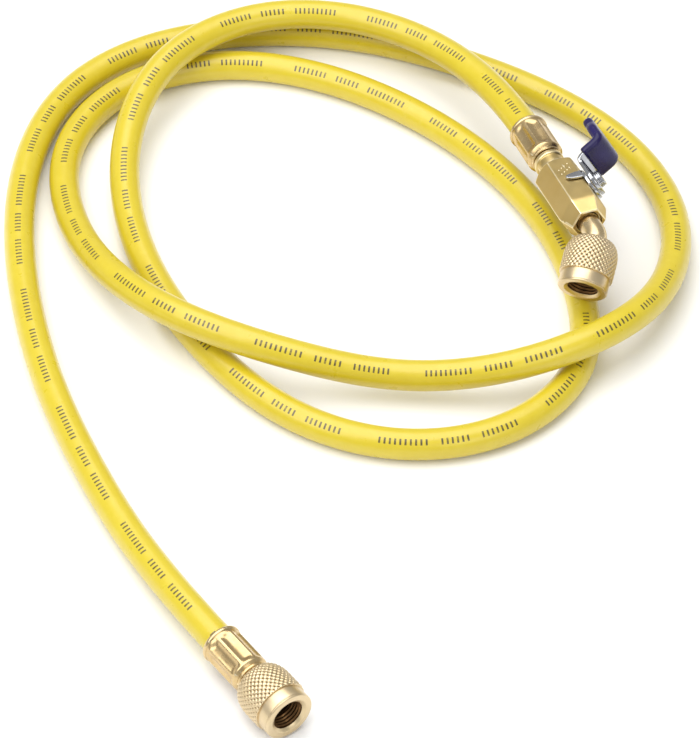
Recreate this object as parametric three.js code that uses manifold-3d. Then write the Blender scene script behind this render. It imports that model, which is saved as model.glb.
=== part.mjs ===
import * as THREE from "three";
import { mergeVertices } from "three/addons/utils/BufferGeometryUtils.js";
import Module from "manifold-3d";

// A refrigerant charging hose lying in loose loops on a level floor, in millimetres, +Z up, floor at z = 0.
// One end has a plain swivel nut. The other has a ball valve with a lever and a bent outlet.

const deg = Math.PI / 180;

// Clearance between pieces that touch or turn in each other
const gap = 0.3;

// Hose
const hoseOd = 11.5;
const hoseSides = 10;
const hoseSteps = 80;
const hoseStraight = 36;

// Crimped ferrule, the same at both ends
const ferruleLength = 20;
const ferruleWall = 1.05;
const ferruleLip = 0.45;
const ferruleLipLength = 2.2;
const ferruleShoulder = 3;
const ferruleFrontRadius = 5.7;
const ferruleFlats = 8;
const ferruleCrimp = 0.55;
const ferruleGrip = 16.5;
const crimpStart = 1.5;
const crimpRun = 2.4;

// Stem and flared seat
const stemRadius = 3.6;
const stemBore = 1.8;
const seatRadius = 5.0;
const seatLength = 3.2;
const seatConeLength = 1.2;
const seatMouth = 2.6;

// Swivel nut
const nutLength = 20.2;
const nutRadius = 9.3;
const nutGripRadius = 10.1;
const nutBackRadius = 6.2;
const nutDomeLength = 7.5;
const nutCollarLength = 5.4;
const nutBackWall = 6.8;
const nutThreadRadius = 5.6;
const nutMouthRadius = 6.5;
const nutMouthChamfer = 0.9;
const nutEdge = 0.5;
const nutStandOff = 0.8;

// Gasket and core depressor
const gasketLength = 2;
const gasketHole = 2.4;
const depressorRadius = 0.9;
const depressorReach = 0.6;
const depressorTip = 0.4;
const depressorBar = [1, 1.4];

// Ball valve body, a hexagonal bar with a round collar and a tapered nose
const hexFlats = 16.2;
const hexLength = 26;
const hexChamfer = 1.6;
const hexLead = 1.6;
const collarRadius = 5.9;
const collarRing = 2.4;
const collarLength = 9;
const collarGroove = 0.6;
const noseLength = 6;
const noseFlats = 11.6;
const ballFromCollar = 15.7;
const ballRadius = 4.7;
const ballBore = 1.8;
const spindleRadius = 1.9;
const spindleFace = 3.9;
const packingRadius = 4.2;
const packingHeight = 1;
const stopRadius = 6.2;
const stopEar = 7;
const stopEarWidth = 3;
const stopEarOffset = 2.2;

// Lever and grip
const leverThickness = 1.5;
const leverHubLength = 10;
const leverHubWidth = 12;
const leverHubCorner = 2.6;
const leverWidth = 14;
const leverBend = 7.3;
const leverRise = 10.6;
const leverRun = 5.5;
const leverReach = 11.8;
const leverTipWidth = 8;
const leverTipTaper = 9;
const leverTipCorner = 2;
const screwRadius = 3.4;
const screwHeight = 2.4;
const screwEdge = 0.7;
const gripWall = 1;
const gripStart = 0.36;

// Bent outlet
const outletRadius = 4.2;
const outletLength = 2.6;
const neckLength = 7;
const bendLead = 2;
const spigotLength = 4;
const elbowAngle = 45;

// How the ends lie: headings are turned from the front (-Y) towards +X
const plainHeading = 36;
const plainLip = [-70.1, -105.2];
const valveHeading = 20;
const valveRise = 4.5;
const outletDrop = 23.5;
const valveMouth = [59.5, 57.2];
const spindleLean = 30;

// Route of the hose from the valve to the plain end, as control points of a smooth curve: x, y and lift off
// the floor
const route = [
  [14, 195, 13], [-23, 218, 12], [-65, 218, 13], [-100, 191, 14], [-114, 152, 6], [-111, 111, 0],
  [-97, 71, 0], [-76, 36, 0], [-48, 5, 0], [-9, -11, 0], [34, -3, 0], [63, 31, 0],
  [61, 74, 0], [49, 113, 0], [26, 148, 0], [-4, 176, 0], [-40, 197, 0], [-81, 204, 0],
  [-120, 187, 0], [-139, 149, 0], [-132, 107, 0], [-115, 71, 8], [-87, 41, 15], [-48, 26, 12],
  [-8, 23, 2], [33, 20, 10], [73, 36, 15], [95, 72, 4], [100, 114, 0], [84, 153, 0],
  [54, 182, 0], [19, 203, 0], [-20, 219, 0], [-61, 223, 0], [-104, 215, 0], [-137, 189, 0],
  [-151, 148, 0], [-152, 104, 0], [-146, 63, 0], [-136, 23, 0], [-121, -15, 0], [-103, -53, 0],
];

// Length of the plain blocks and drills that only cut or trim other pieces
const cutterReach = 60;

// Sizes that follow from the ones above
const hoseRadius = hoseOd / 2;
const ferruleBore = hoseRadius + gap;
const ferruleRadius = ferruleBore + ferruleWall;
const neckHole = stemRadius + gap;
const hexCorner = hexFlats / 2 / Math.cos(30 * deg);
const bodyLength = collarLength + hexLength + noseLength;

const brass = { color: 0xd9b04e, roughness: 0.28, metalness: 1 };
const chrome = { color: 0xc9cbd0, roughness: 0.15, metalness: 1 };
const rubber = { color: 0xe8c832, roughness: 0.5, metalness: 0 };
const vinyl = { color: 0x23204f, roughness: 0.3, metalness: 0 };
const seal = { color: 0x151515, roughness: 0.7, metalness: 0 };

const wasm = await Module();
wasm.setup();

function toSolid(geometry) {
  const plain = geometry.clone();
  plain.deleteAttribute("normal");
  plain.deleteAttribute("uv");
  const merged = mergeVertices(plain, 1e-4);
  const vertProperties = new Float32Array(merged.attributes.position.array);
  const triVerts = new Uint32Array(merged.index.array);
  return new wasm.Manifold(new wasm.Mesh({ numProp: 3, vertProperties, triVerts }));
}

function toGeometry(solid) {
  const mesh = solid.getMesh();
  const geometry = new THREE.BufferGeometry();
  geometry.setAttribute("position", new THREE.BufferAttribute(mesh.vertProperties, 3));
  geometry.setIndex(new THREE.BufferAttribute(mesh.triVerts, 1));
  geometry.computeVertexNormals();
  return geometry;
}

// Turned shape round the Y axis from [radius, y] points
function turned(profile, sides = 32) {
  return new THREE.LatheGeometry(profile.map(([r, y]) => new THREE.Vector2(r, y)), sides);
}

// Turned shape with a through hole: outer points from low y to high y, then inner points back down
function ring(outer, inner, sides = 32) {
  return turned([...outer, ...inner, outer[0]], sides);
}

// Regular polygon with a flat at the bottom when its sides are even
function polygon(radius, sides) {
  const points = [];
  for (let i = 0; i < sides; i++) {
    const a = (i + 0.5) * 2 * Math.PI / sides;
    points.push(new THREE.Vector2(radius * Math.cos(a), radius * Math.sin(a)));
  }
  return new THREE.Shape(points);
}

function place(parent, name, geometry, look, matrix) {
  const mesh = new THREE.Mesh(geometry, new THREE.MeshStandardMaterial(look));
  mesh.name = name;
  if (matrix) mesh.applyMatrix4(matrix);
  parent.add(mesh);
  return mesh;
}

// Direction from a heading off the front towards +X and a rise off the floor, both in degrees
function direction(heading, rise) {
  const [h, r] = [heading * deg, rise * deg];
  return new THREE.Vector3(Math.sin(h) * Math.cos(r), -Math.cos(h) * Math.cos(r), Math.sin(r));
}

// Group whose local Y runs along the given direction, with local Z as near upright as it can be
function alongAxis(position, yDirection) {
  const x = new THREE.Vector3().crossVectors(yDirection, new THREE.Vector3(0, 0, 1)).normalize();
  const z = new THREE.Vector3().crossVectors(x, yDirection);
  const group = new THREE.Group();
  group.quaternion.setFromRotationMatrix(new THREE.Matrix4().makeBasis(x, yDirection, z));
  group.position.copy(position);
  return group;
}

// Ferrule: a sleeve with a rolled lip, a front wall with a hole for the stem, and long crimped flats
function ferrule() {
  const front = ferruleLength;
  const wall = front - ferruleGrip - 2 * gap;
  const lipRadius = ferruleRadius + ferruleLip;
  const sleeve = toSolid(ring(
    [[(ferruleBore + ferruleRadius) / 2, 0], [lipRadius, 0.23 * ferruleLipLength],
      [lipRadius, 0.6 * ferruleLipLength], [ferruleRadius, ferruleLipLength],
      [ferruleRadius, front - ferruleShoulder],
      [(2 * ferruleFrontRadius + ferruleRadius) / 3 + 0.03, front - 0.4 * ferruleShoulder],
      [ferruleFrontRadius, front]],
    [[neckHole, front], [neckHole, front - wall], [ferruleBore, front - wall],
      [ferruleBore, 0.18 * ferruleLipLength]],
  ));
  // The crimping tool leaves flats that run out at both ends
  const apothem = ferruleRadius - ferruleCrimp;
  const reach = 1 / Math.cos(Math.PI / ferruleFlats);
  const proud = lipRadius + 1;
  const shoulder = front - ferruleShoulder;
  const jaws = toSolid(turned(
    [[0, -1], [proud, -1], [proud, crimpStart], [apothem, crimpStart + crimpRun],
      [apothem, shoulder - 1.6], [ferruleRadius, shoulder + 0.6], [ferruleRadius, front + 1],
      [0, front + 1]]
      .map(([r, y]) => [r * reach, y]),
    ferruleFlats,
  ));
  return toGeometry(sleeve.intersect(jaws));
}

// Seat end of a stem: the flange that the nut pulls on and the cone that seals
function seatProfile(start) {
  return [
    [stemRadius, start], [seatRadius, start], [seatRadius, start + seatLength - seatConeLength],
    [seatMouth, start + seatLength],
  ];
}

// Knurled swivel nut: a domed grip and a smooth collar, hollow for the seat and the thread
function nut() {
  const collar = nutLength - nutCollarLength;
  const dome = [0, 0.2, 0.4, 0.6, 0.8, 1].map((t) => {
    const a = t * Math.PI / 2;
    const r = nutBackRadius + (nutGripRadius - nutBackRadius) * Math.sin(a);
    return [r, nutDomeLength * (1 - Math.cos(a))];
  });
  return ring(
    [[nutBackRadius - nutEdge, 0], ...dome, [nutGripRadius, collar - nutEdge], [nutRadius, collar],
      [nutRadius, nutLength - nutEdge], [nutRadius - nutEdge, nutLength]],
    [[nutMouthRadius, nutLength], [nutThreadRadius, nutLength - nutMouthChamfer],
      [nutThreadRadius, nutBackWall], [neckHole, nutBackWall], [neckHole, 0]],
    40,
  );
}

function gasket(start) {
  return ring([[seatRadius, start], [seatRadius, start + gasketLength]],
    [[gasketHole, start + gasketLength], [gasketHole, start]]);
}

const part = new THREE.Group();
const floorAxis = new THREE.Vector3(0, 0, nutGripRadius);

// Plain end, lying on the floor on the nut
const plainAxis = direction(plainHeading, 0);
const plainPlace = new THREE.Vector3(plainLip[0], plainLip[1], 0).add(floorAxis);
const plainEnd = alongAxis(plainPlace, plainAxis);
part.add(plainEnd);

const nutStart = ferruleLength + nutStandOff;
const seatStart = nutStart + nutBackWall + gap;
place(plainEnd, "ferrule_plain_end", ferrule(), brass);
place(plainEnd, "stem_plain_end", ring(
  [[stemRadius, ferruleGrip + gap], ...seatProfile(seatStart)],
  [[stemBore, seatStart + seatLength], [stemBore, ferruleGrip + gap]],
), brass);
place(plainEnd, "nut_plain_end", nut().translate(0, nutStart, 0), brass);
place(plainEnd, "gasket_plain_end", gasket(seatStart + seatLength + gap), seal);

// Valve end: the nut rests on the hose below it, and the body runs up from it to the ferrule
const valveAxis = direction(valveHeading, valveRise);
const bend = (Math.cos(elbowAngle * deg) + Math.sin(valveRise * deg) * Math.sin(outletDrop * deg))
  / (Math.cos(valveRise * deg) * Math.cos(outletDrop * deg));
const outletAxis = direction(valveHeading - Math.acos(bend) / deg, -outletDrop);
const mouth = new THREE.Vector3(valveMouth[0], valveMouth[1],
  hoseOd + gap + nutRadius * Math.cos(outletDrop * deg));
const elbow = mouth.clone().addScaledVector(outletAxis, -outletLength - nutLength);
const valveBase = elbow.clone().addScaledVector(valveAxis, -neckLength - bodyLength - gap);
const valveLip = valveBase.clone().addScaledVector(valveAxis, -ferruleLength);
const valveFerrule = alongAxis(valveLip, valveAxis);
const valve = alongAxis(valveBase.clone().addScaledVector(valveAxis, gap), valveAxis);
const outlet = alongAxis(elbow, outletAxis);
part.add(valveFerrule, valve, outlet);

place(valveFerrule, "ferrule_valve_end", ferrule(), brass);

// Spindle frame: local Y along the spindle, from the middle of the ball outwards
const lean = spindleLean * deg;
const spindleDirection = new THREE.Vector3(-Math.cos(lean), 0, Math.sin(lean));
const ballAt = collarLength + ballFromCollar;
const spindleMatrix = new THREE.Matrix4().makeBasis(
  new THREE.Vector3().crossVectors(spindleDirection, new THREE.Vector3(0, -1, 0)),
  spindleDirection,
  new THREE.Vector3(0, -1, 0),
).setPosition(0, ballAt, 0);

const spindleHole = spindleRadius + gap;
const packingBase = hexFlats / 2 + gap;
const leverBase = packingBase + packingHeight + gap;
const spindleTop = leverBase + leverThickness;

function drill(radius, from, to, sides = 24) {
  return toSolid(turned([[0, from], [radius, from], [radius, to], [0, to]], sides));
}

function valveBody() {
  const shoulder = collarLength + hexLength;
  const start = ferruleGrip - ferruleLength;
  const noseCorner = noseFlats / 2 / Math.cos(30 * deg);
  const hexStart = collarLength - hexLead;
  const waist = collarRadius - collarGroove;
  const bar = toSolid(turned([[0, hexStart], [hexCorner, hexStart], [hexCorner, shoulder],
    [noseCorner, bodyLength], [0, bodyLength]], 6).rotateY(30 * deg));
  const chamfer = toSolid(turned([[0, hexStart - 1], [waist, hexStart - 1], [waist + 0.5, hexStart],
    [hexCorner, collarLength + hexChamfer], [hexCorner, bodyLength + 1], [0, bodyLength + 1]], 36));
  const collar = toSolid(turned([[0, start], [stemRadius, start], [stemRadius, gap], [waist, gap],
    [collarRadius, gap + 0.5], [collarRadius, collarRing], [waist, collarRing + collarGroove],
    [waist, collarLength], [0, collarLength]]));
  const cavity = toSolid(new THREE.SphereGeometry(ballRadius + gap, 24, 14).translate(0, ballAt, 0));
  const spindleWay = drill(spindleHole, 0, hexFlats).transform(spindleMatrix.elements);
  return toGeometry(bar.intersect(chamfer).add(collar)
    .subtract(cavity)
    .subtract(spindleWay)
    .subtract(drill(ballBore, start - 1, bodyLength + 1))
    .subtract(drill(outletRadius + gap, bodyLength - spigotLength - gap, bodyLength + 1, 32)));
}

// Ball with its way through along the body, cut flat under the spindle
function ball() {
  const flat = toSolid(new THREE.BoxGeometry(cutterReach, cutterReach, cutterReach)
    .translate(0, spindleFace + cutterReach / 2, 0));
  const way = drill(ballBore, -2 * ballRadius, 2 * ballRadius).transform(
    new THREE.Matrix4().makeRotationX(90 * deg).elements);
  return toGeometry(toSolid(new THREE.SphereGeometry(ballRadius, 24, 14)).subtract(flat).subtract(way));
}

// Middle line of the cranked lever: distance towards the hose, and height over the hub
function leverLine() {
  const start = leverBend;
  const top = start + leverRun;
  const pull = leverRun * 0.8;
  const at = (x, y) => new THREE.Vector2(x, y);
  const bendUp = new THREE.CubicBezierCurve(at(start, 0), at(start + pull, 0), at(top - pull, leverRise),
    at(top, leverRise));
  return [at(-leverHubLength / 2, 0), ...bendUp.getPoints(12), at(top + leverReach, leverRise)];
}

// Bent strip of even thickness along a line
function strip(line, thickness) {
  const side = (sign) => line.map((p, i) => {
    const before = line[Math.max(i - 1, 0)];
    const after = line[Math.min(i + 1, line.length - 1)];
    const along = after.clone().sub(before).normalize();
    return new THREE.Vector2(p.x - sign * along.y * thickness / 2, p.y + sign * along.x * thickness / 2);
  });
  const shape = new THREE.Shape([...side(-1), ...side(1).reverse()]);
  const geometry = new THREE.ExtrudeGeometry(shape, { depth: cutterReach, bevelEnabled: false });
  return toSolid(geometry.translate(0, 0, -cutterReach / 2).rotateY(-90 * deg));
}

// Block with the given half outline seen from above: [half width, distance towards the hose] points
function planBlock(half) {
  const outline = [...half, ...half.map(([x, z]) => [-x, z]).reverse()];
  const shape = new THREE.Shape(outline.map(([x, z]) => new THREE.Vector2(x, z)));
  const geometry = new THREE.ExtrudeGeometry(shape, { depth: cutterReach, bevelEnabled: false });
  return toSolid(geometry.rotateX(90 * deg).translate(0, leverRise + cutterReach / 2, 0));
}

// Half outline of the lever seen from above, grown by a margin for the grip and its pocket
function leverPlan(margin) {
  const front = -leverHubLength / 2;
  const end = leverBend + leverRun + leverReach + margin;
  const hub = leverHubWidth / 2;
  const full = leverWidth / 2;
  const tip = leverTipWidth / 2;
  const corner = leverTipCorner;
  return [[hub - leverHubCorner, front], [hub, front + leverHubCorner], [hub, leverBend - 1.5],
    [full, leverBend + 1], [full, end - leverTipTaper], [tip + 0.8, end - corner],
    [tip - 0.8, end - corner / 3], [tip - corner, end]]
    .map(([x, z]) => [x + margin, z]);
}

function lever() {
  return strip(leverLine(), leverThickness).intersect(planBlock(leverPlan(0)))
    .subtract(drill(spindleHole, -leverThickness, leverThickness));
}

// The dipped sleeve covers the lever from part way up the bend to past the tip
function grip() {
  const line = leverLine();
  const from = Math.round(line.length * gripStart);
  const covered = line.slice(from);
  const last = covered[covered.length - 1];
  const heading = last.clone().sub(covered[covered.length - 2]).normalize();
  const longer = (by) => [...covered.slice(0, -1), last.clone().addScaledVector(heading, by)];
  const shell = strip(longer(gap + gripWall), leverThickness + 2 * (gap + gripWall))
    .intersect(planBlock(leverPlan(gap + gripWall)));
  const deeper = [line[from - 1], ...longer(gap)];
  const pocket = strip(deeper, leverThickness + 2 * gap).intersect(planBlock(leverPlan(gap)));
  return shell.subtract(pocket);
}

// Stop plate round the packing nut, with an ear bent over the edge of the hexagon that keeps it from turning
function stopPlate() {
  const top = packingBase + packingHeight;
  const slope = [Math.sin(30 * deg), -Math.cos(30 * deg)];
  const corner = (height) => [height * Math.tan(30 * deg), height];
  const down = ([x, y], far) => [x + far * slope[0], y + far * slope[1]];
  const outline = [[0, packingBase], corner(packingBase), down(corner(packingBase), stopEar),
    down(corner(top), stopEar), corner(top), [0, top]];
  const shape = new THREE.Shape(outline.map(([x, y]) => new THREE.Vector2(x, y)));
  const ear = new THREE.ExtrudeGeometry(shape, { depth: stopEarWidth, bevelEnabled: false })
    .translate(0, 0, stopEarOffset - stopEarWidth / 2);
  return toGeometry(drill(stopRadius, packingBase, top).add(toSolid(ear))
    .subtract(drill(packingRadius + gap, 0, top + 1)));
}

function inSpindleFrame(solid, height = 0) {
  return toGeometry(solid).translate(0, height, 0);
}

place(valve, "valve_body", valveBody(), brass);
place(valve, "valve_ball", ball(), chrome, spindleMatrix);
place(valve, "valve_spindle", inSpindleFrame(drill(spindleRadius, spindleFace + gap, spindleTop)), brass,
  spindleMatrix);
place(valve, "packing_nut", ring(
  [[packingRadius, packingBase], [packingRadius, packingBase + packingHeight]],
  [[spindleHole, packingBase + packingHeight], [spindleHole, packingBase]],
  6,
), brass, spindleMatrix);
place(valve, "stop_plate", stopPlate(), chrome, spindleMatrix);
const leverHeight = leverBase + leverThickness / 2;
place(valve, "handle_lever", inSpindleFrame(lever(), leverHeight), chrome, spindleMatrix);
place(valve, "handle_grip", inSpindleFrame(grip(), leverHeight), vinyl, spindleMatrix);
const screwBase = spindleTop + gap;
const screwTop = screwBase + screwHeight;
place(valve, "handle_screw", turned([[0, screwBase], [screwRadius, screwBase],
  [screwRadius, screwTop - screwEdge], [screwRadius - screwEdge, screwTop], [0, screwTop]], 20), chrome,
spindleMatrix);

// Bent outlet: a spigot in the nose of the body, the bend, and the neck and seat inside the nut
function outletStem() {
  const back = valveAxis.clone().applyQuaternion(outlet.quaternion.clone().invert()).negate();
  const bendStart = back.clone().multiplyScalar(bendLead);
  const spigotEnd = back.clone().multiplyScalar(neckLength + spigotLength);
  const bendEnd = new THREE.Vector3(0, bendLead, 0);
  const neckStart = new THREE.Vector3(0, outletLength - gap, 0);
  const path = new THREE.CurvePath();
  path.add(new THREE.LineCurve3(spigotEnd, bendStart));
  path.add(new THREE.QuadraticBezierCurve3(bendStart, new THREE.Vector3(), bendEnd));
  path.add(new THREE.LineCurve3(bendEnd, neckStart));
  const sweep = { steps: 16, extrudePath: path };
  const pipe = toSolid(new THREE.ExtrudeGeometry(polygon(outletRadius, 24), sweep));
  const start = outletLength + nutBackWall + gap;
  const neck = toSolid(turned([[0, outletLength - 2], [stemRadius, outletLength - 2], ...seatProfile(start),
    [0, start + seatLength]]));
  const inlet = drill(stemBore, -2 * spigotLength - neckLength, 0).transform(
    new THREE.Matrix4().makeRotationFromQuaternion(
      new THREE.Quaternion().setFromUnitVectors(new THREE.Vector3(0, -1, 0), back)).elements);
  return toGeometry(pipe.add(neck).subtract(inlet).subtract(drill(stemBore, -0.7, start + seatLength + 1)));
}

const outletSeat = outletLength + nutBackWall + gap + seatLength;
place(outlet, "outlet_stem", outletStem(), brass);
place(outlet, "nut_valve_end", nut().translate(0, outletLength, 0), brass);
place(outlet, "gasket_valve_end", gasket(outletSeat + gap), seal);

// Core depressor: a bar across the hole of the gasket with a pin in its middle
function depressor() {
  const start = outletSeat + gap;
  const end = start + gasketLength + depressorReach;
  const [barLength, barWidth] = depressorBar;
  const bar = toSolid(new THREE.BoxGeometry(2 * (gasketHole - gap), barLength, barWidth)
    .translate(0, start + barLength / 2, 0));
  const pin = toSolid(turned([[0, start], [depressorRadius, start], [depressorRadius, end - depressorTip],
    [depressorRadius - depressorTip, end], [0, end]], 16));
  return toGeometry(bar.add(pin));
}
place(outlet, "depressor", depressor(), brass);

// Hose: a smooth curve through the ferrules at both ends
class HoseRoute extends THREE.Curve {
  constructor(controls) {
    super();
    this.controls = controls;
  }

  getPoint(t) {
    const spans = this.controls.length - 3;
    const at = Math.min(t * spans, spans - 1e-9);
    const i = Math.floor(at);
    const f = at - i;
    const weights = [(1 - f) ** 3, 3 * f ** 3 - 6 * f ** 2 + 4, -3 * f ** 3 + 3 * f ** 2 + 3 * f + 1, f ** 3];
    const point = new THREE.Vector3();
    weights.forEach((w, k) => point.addScaledVector(this.controls[i + k], w / 6));
    return point;
  }
}

function hoseEnd(lip, axis) {
  const end = lip.clone().addScaledVector(axis, ferruleGrip);
  return [1, 0, -1].map((k) => end.clone().addScaledVector(axis, k * hoseStraight));
}

const controls = [
  ...hoseEnd(valveLip, valveAxis),
  ...route.map(([x, y, lift]) => new THREE.Vector3(x, y, hoseRadius + lift)),
  ...hoseEnd(plainPlace, plainAxis).reverse(),
];
place(part, "hose", new THREE.ExtrudeGeometry(polygon(hoseRadius, hoseSides),
  { steps: hoseSteps, extrudePath: new HoseRoute(controls) }), rubber);

export default part;
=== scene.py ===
import math

import bmesh
import bpy
import numpy as np
from mathutils import Matrix, Vector


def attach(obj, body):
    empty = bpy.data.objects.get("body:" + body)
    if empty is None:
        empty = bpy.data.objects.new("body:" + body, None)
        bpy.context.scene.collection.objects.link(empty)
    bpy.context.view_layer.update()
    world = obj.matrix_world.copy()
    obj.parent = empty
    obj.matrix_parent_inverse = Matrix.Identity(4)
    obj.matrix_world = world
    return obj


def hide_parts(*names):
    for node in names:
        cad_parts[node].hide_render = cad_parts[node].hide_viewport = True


# A refrigerant charging hose in loose loops on a pale floor. The frame is in metres; the sizes of the
# fittings below are in mm, in local frames whose Y runs along each fitting.
mm = 0.001

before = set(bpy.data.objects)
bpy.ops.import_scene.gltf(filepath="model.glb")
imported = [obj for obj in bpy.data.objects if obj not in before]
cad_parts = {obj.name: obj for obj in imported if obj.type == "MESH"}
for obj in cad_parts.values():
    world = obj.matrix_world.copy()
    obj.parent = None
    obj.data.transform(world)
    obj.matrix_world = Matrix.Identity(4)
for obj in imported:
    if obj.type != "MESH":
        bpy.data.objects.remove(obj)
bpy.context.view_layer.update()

# Camera at the photograph's viewing angle
view_target = Vector((-0.02575, 0.0367, 0))
view_distance = 1.5
view_elevation = math.radians(45)
view_lens = 199.1

# Clearance between pieces
gap = 0.3

# Hose
hose_radius = 5.75
hose_straight = 36
hose_rings = 900
hose_sides = 32
mark_side = Vector((0, -0.6, 0.8))
mark_step = 1.8
mark_width = 0.7
mark_height = 2.3
mark_repeat = 63
mark_groups = ((0, 18), (21.6, 32.4), (36, 50.4))

# Ferrule
ferrule_length = 20
ferrule_grip = 16.5
ferrule_radius = 7.1
ferrule_bore = 6.05
ferrule_lip = 0.45
lip_round = 0.75
lip_length = 1.9
ferrule_head = 3.1
ferrule_neck = 6.05
ferrule_front = 5.7
ferrule_wall = 2.9
ferrule_flats = 8
ferrule_apothem = 6.72
ferrule_hollow = 0.5

# Stem and seat
stem_radius = 3.6
stem_bore = 1.8
seat_radius = 5.0
seat_length = 3.2
seat_tip_radius = 2.6
gasket_length = 2
gasket_hole = 2.4

# Swivel nut
nut_length = 20.2
nut_radius = 9.3
nut_grip_radius = 10.1
nut_back_radius = 6.2
nut_dome = 7.5
nut_collar = 5.4
collar_step = 0.25
nut_back_wall = 6.8
nut_hole = 3.9
nut_bore = 5.6
nut_mouth = 6.8
nut_stand_off = 0.8
knurl_starts = 30
knurl_pitch = 2.1
knurl_depth = 0.55
knurl_land = 0.4
knurl_steps = 12
thread_pitch = 1.27
thread_crest = 5.15

# Ball valve body
hex_flats = 16.2
hex_length = 26
collar_radius = 5.9
collar_length = 9
nose_length = 6
nose_flats = 11.6
ball_from_collar = 15.7
ball_radius = 4.7
edge_sharpness = 90
dot_radius = 0.36
dot_height = 0.3
raised_dots = (
    (2.2, 16.5), (0.8, 15.6), (-0.6, 14.7), (2.0, 19.0),
    (0.6, 18.1), (-0.8, 17.2), (-2.0, 16.3), (-2.2, 13.8),
)

# Stop plate, lever and grip, in the spindle's frame: Y outwards, Z towards the hose
packing_height = 1
stop_radius = 6.2
stop_ear = 7
stop_ear_root = 3.6
stop_ear_half = 1.75
stop_ear_offset = 2.2
stop_ear_bend = 0.9
stop_hole = 4.5
lever_thickness = 1.5
lever_hub_length = 10
lever_hub_width = 12
lever_width = 14
lever_bend = 7.3
lever_rise = 10.6
lever_run = 5.5
lever_reach = 11.8
lever_tip_width = 8
lever_tip_taper = 9
lever_tip_round = 3.6
screw_radius = 3.4
screw_height = 2.4
screw_hole = 0.3
grip_wall = 1
grip_start = 2.3
grip_rim = 0.35
grip_tip_round = 3.2
packing_base = hex_flats / 2 + gap
lever_base = packing_base + packing_height + gap
lever_middle = lever_base + lever_thickness / 2
lever_end = lever_bend + lever_run + lever_reach

# Bent outlet
outlet_radius = 4.2
outlet_length = 2.6
neck_length = 7
neck_depth = 4
neck_lead = 3.2
elbow_angle = 45

# How the ends lie: headings are turned from the front (-Y) towards +X
plain_heading = 36
plain_lip = (-70.1, -105.2)
valve_heading = 20
valve_rise = 4.5
outlet_drop = 23.5
valve_mouth = (59.5, 57.2)
spindle_lean = 30

# Route from the valve to the plain end: x, y and lift off the floor
route = [
    (14, 195, 13), (-23, 218, 12), (-65, 218, 13), (-100, 191, 14), (-114, 152, 6), (-111, 111, 0),
    (-97, 71, 0), (-76, 36, 0), (-48, 5, 0), (-9, -11, 0), (34, -3, 0), (63, 31, 0),
    (61, 74, 0), (49, 113, 0), (26, 148, 0), (-4, 176, 0), (-40, 197, 0), (-81, 204, 0),
    (-120, 187, 0), (-139, 149, 0), (-132, 107, 0), (-115, 71, 8), (-87, 41, 15), (-48, 26, 12),
    (-8, 23, 2), (33, 20, 10), (73, 36, 15), (95, 72, 4), (100, 114, 0), (84, 153, 0),
    (54, 182, 0), (19, 203, 0), (-20, 219, 0), (-61, 223, 0), (-104, 215, 0), (-137, 189, 0),
    (-151, 148, 0), (-152, 104, 0), (-146, 63, 0), (-136, 23, 0), (-121, -15, 0), (-103, -53, 0),
]


# Places

def direction(heading, rise):
    h, r = math.radians(heading), math.radians(rise)
    return Vector((math.sin(h) * math.cos(r), -math.cos(h) * math.cos(r), math.sin(r)))


def along(position, y):
    """Frame in mm whose Y runs along the given direction, with Z as near upright as it can be."""
    x = y.cross(Vector((0, 0, 1))).normalized()
    place = Matrix((x, y, x.cross(y))).transposed().to_4x4()
    place.translation = position
    return place


plain_axis = direction(plain_heading, 0)
plain_place = along(Vector((*plain_lip, nut_grip_radius)), plain_axis)

rise, drop = math.radians(valve_rise), math.radians(outlet_drop)
bend = ((math.cos(math.radians(elbow_angle)) + math.sin(rise) * math.sin(drop))
        / (math.cos(rise) * math.cos(drop)))
valve_axis = direction(valve_heading, valve_rise)
outlet_axis = direction(valve_heading - math.degrees(math.acos(bend)), -outlet_drop)
mouth = Vector((*valve_mouth, 2 * hose_radius + gap + nut_radius * math.cos(drop)))
elbow = mouth - outlet_axis * (outlet_length + nut_length)
body_length = collar_length + hex_length + nose_length
valve_base = elbow - valve_axis * (neck_length + body_length + gap)
valve_lip = valve_base - valve_axis * ferrule_length
ferrule_place = along(valve_lip, valve_axis)
valve_place = along(valve_base + valve_axis * gap, valve_axis)
outlet_place = along(elbow, outlet_axis)

lean = math.radians(spindle_lean)
spindle_y = Vector((-math.cos(lean), 0, math.sin(lean)))
spindle_z = Vector((0, -1, 0))
spindle_x = spindle_y.cross(spindle_z)
spindle_place = Matrix((spindle_x, spindle_y, spindle_z)).transposed().to_4x4()
spindle_place.translation = Vector((0, collar_length + ball_from_collar, 0))
spindle_place = valve_place @ spindle_place


# Shapes

def look_at(obj, target):
    obj.rotation_euler = (target - obj.location).to_track_quat("-Z", "Y").to_euler()


def skin(rings, loop=False):
    """Vertices and faces of a shape made of closed rings of points; the ends are capped unless it loops."""
    rings = np.asarray(rings, dtype=float)
    count, sides = rings.shape[:2]
    i = np.arange(count if loop else count - 1)[:, None]
    k = np.arange(sides)[None, :]
    j = (k + 1) % sides
    up = (i + 1) % count
    quads = np.stack([i * sides + k, i * sides + j, up * sides + j, up * sides + k], -1).reshape(-1, 4)
    faces = quads.tolist()
    if not loop:
        faces.append(list(range(sides)))
        faces.append([(count - 1) * sides + n for n in range(sides)])
    return rings.reshape(-1, 3), faces


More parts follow.
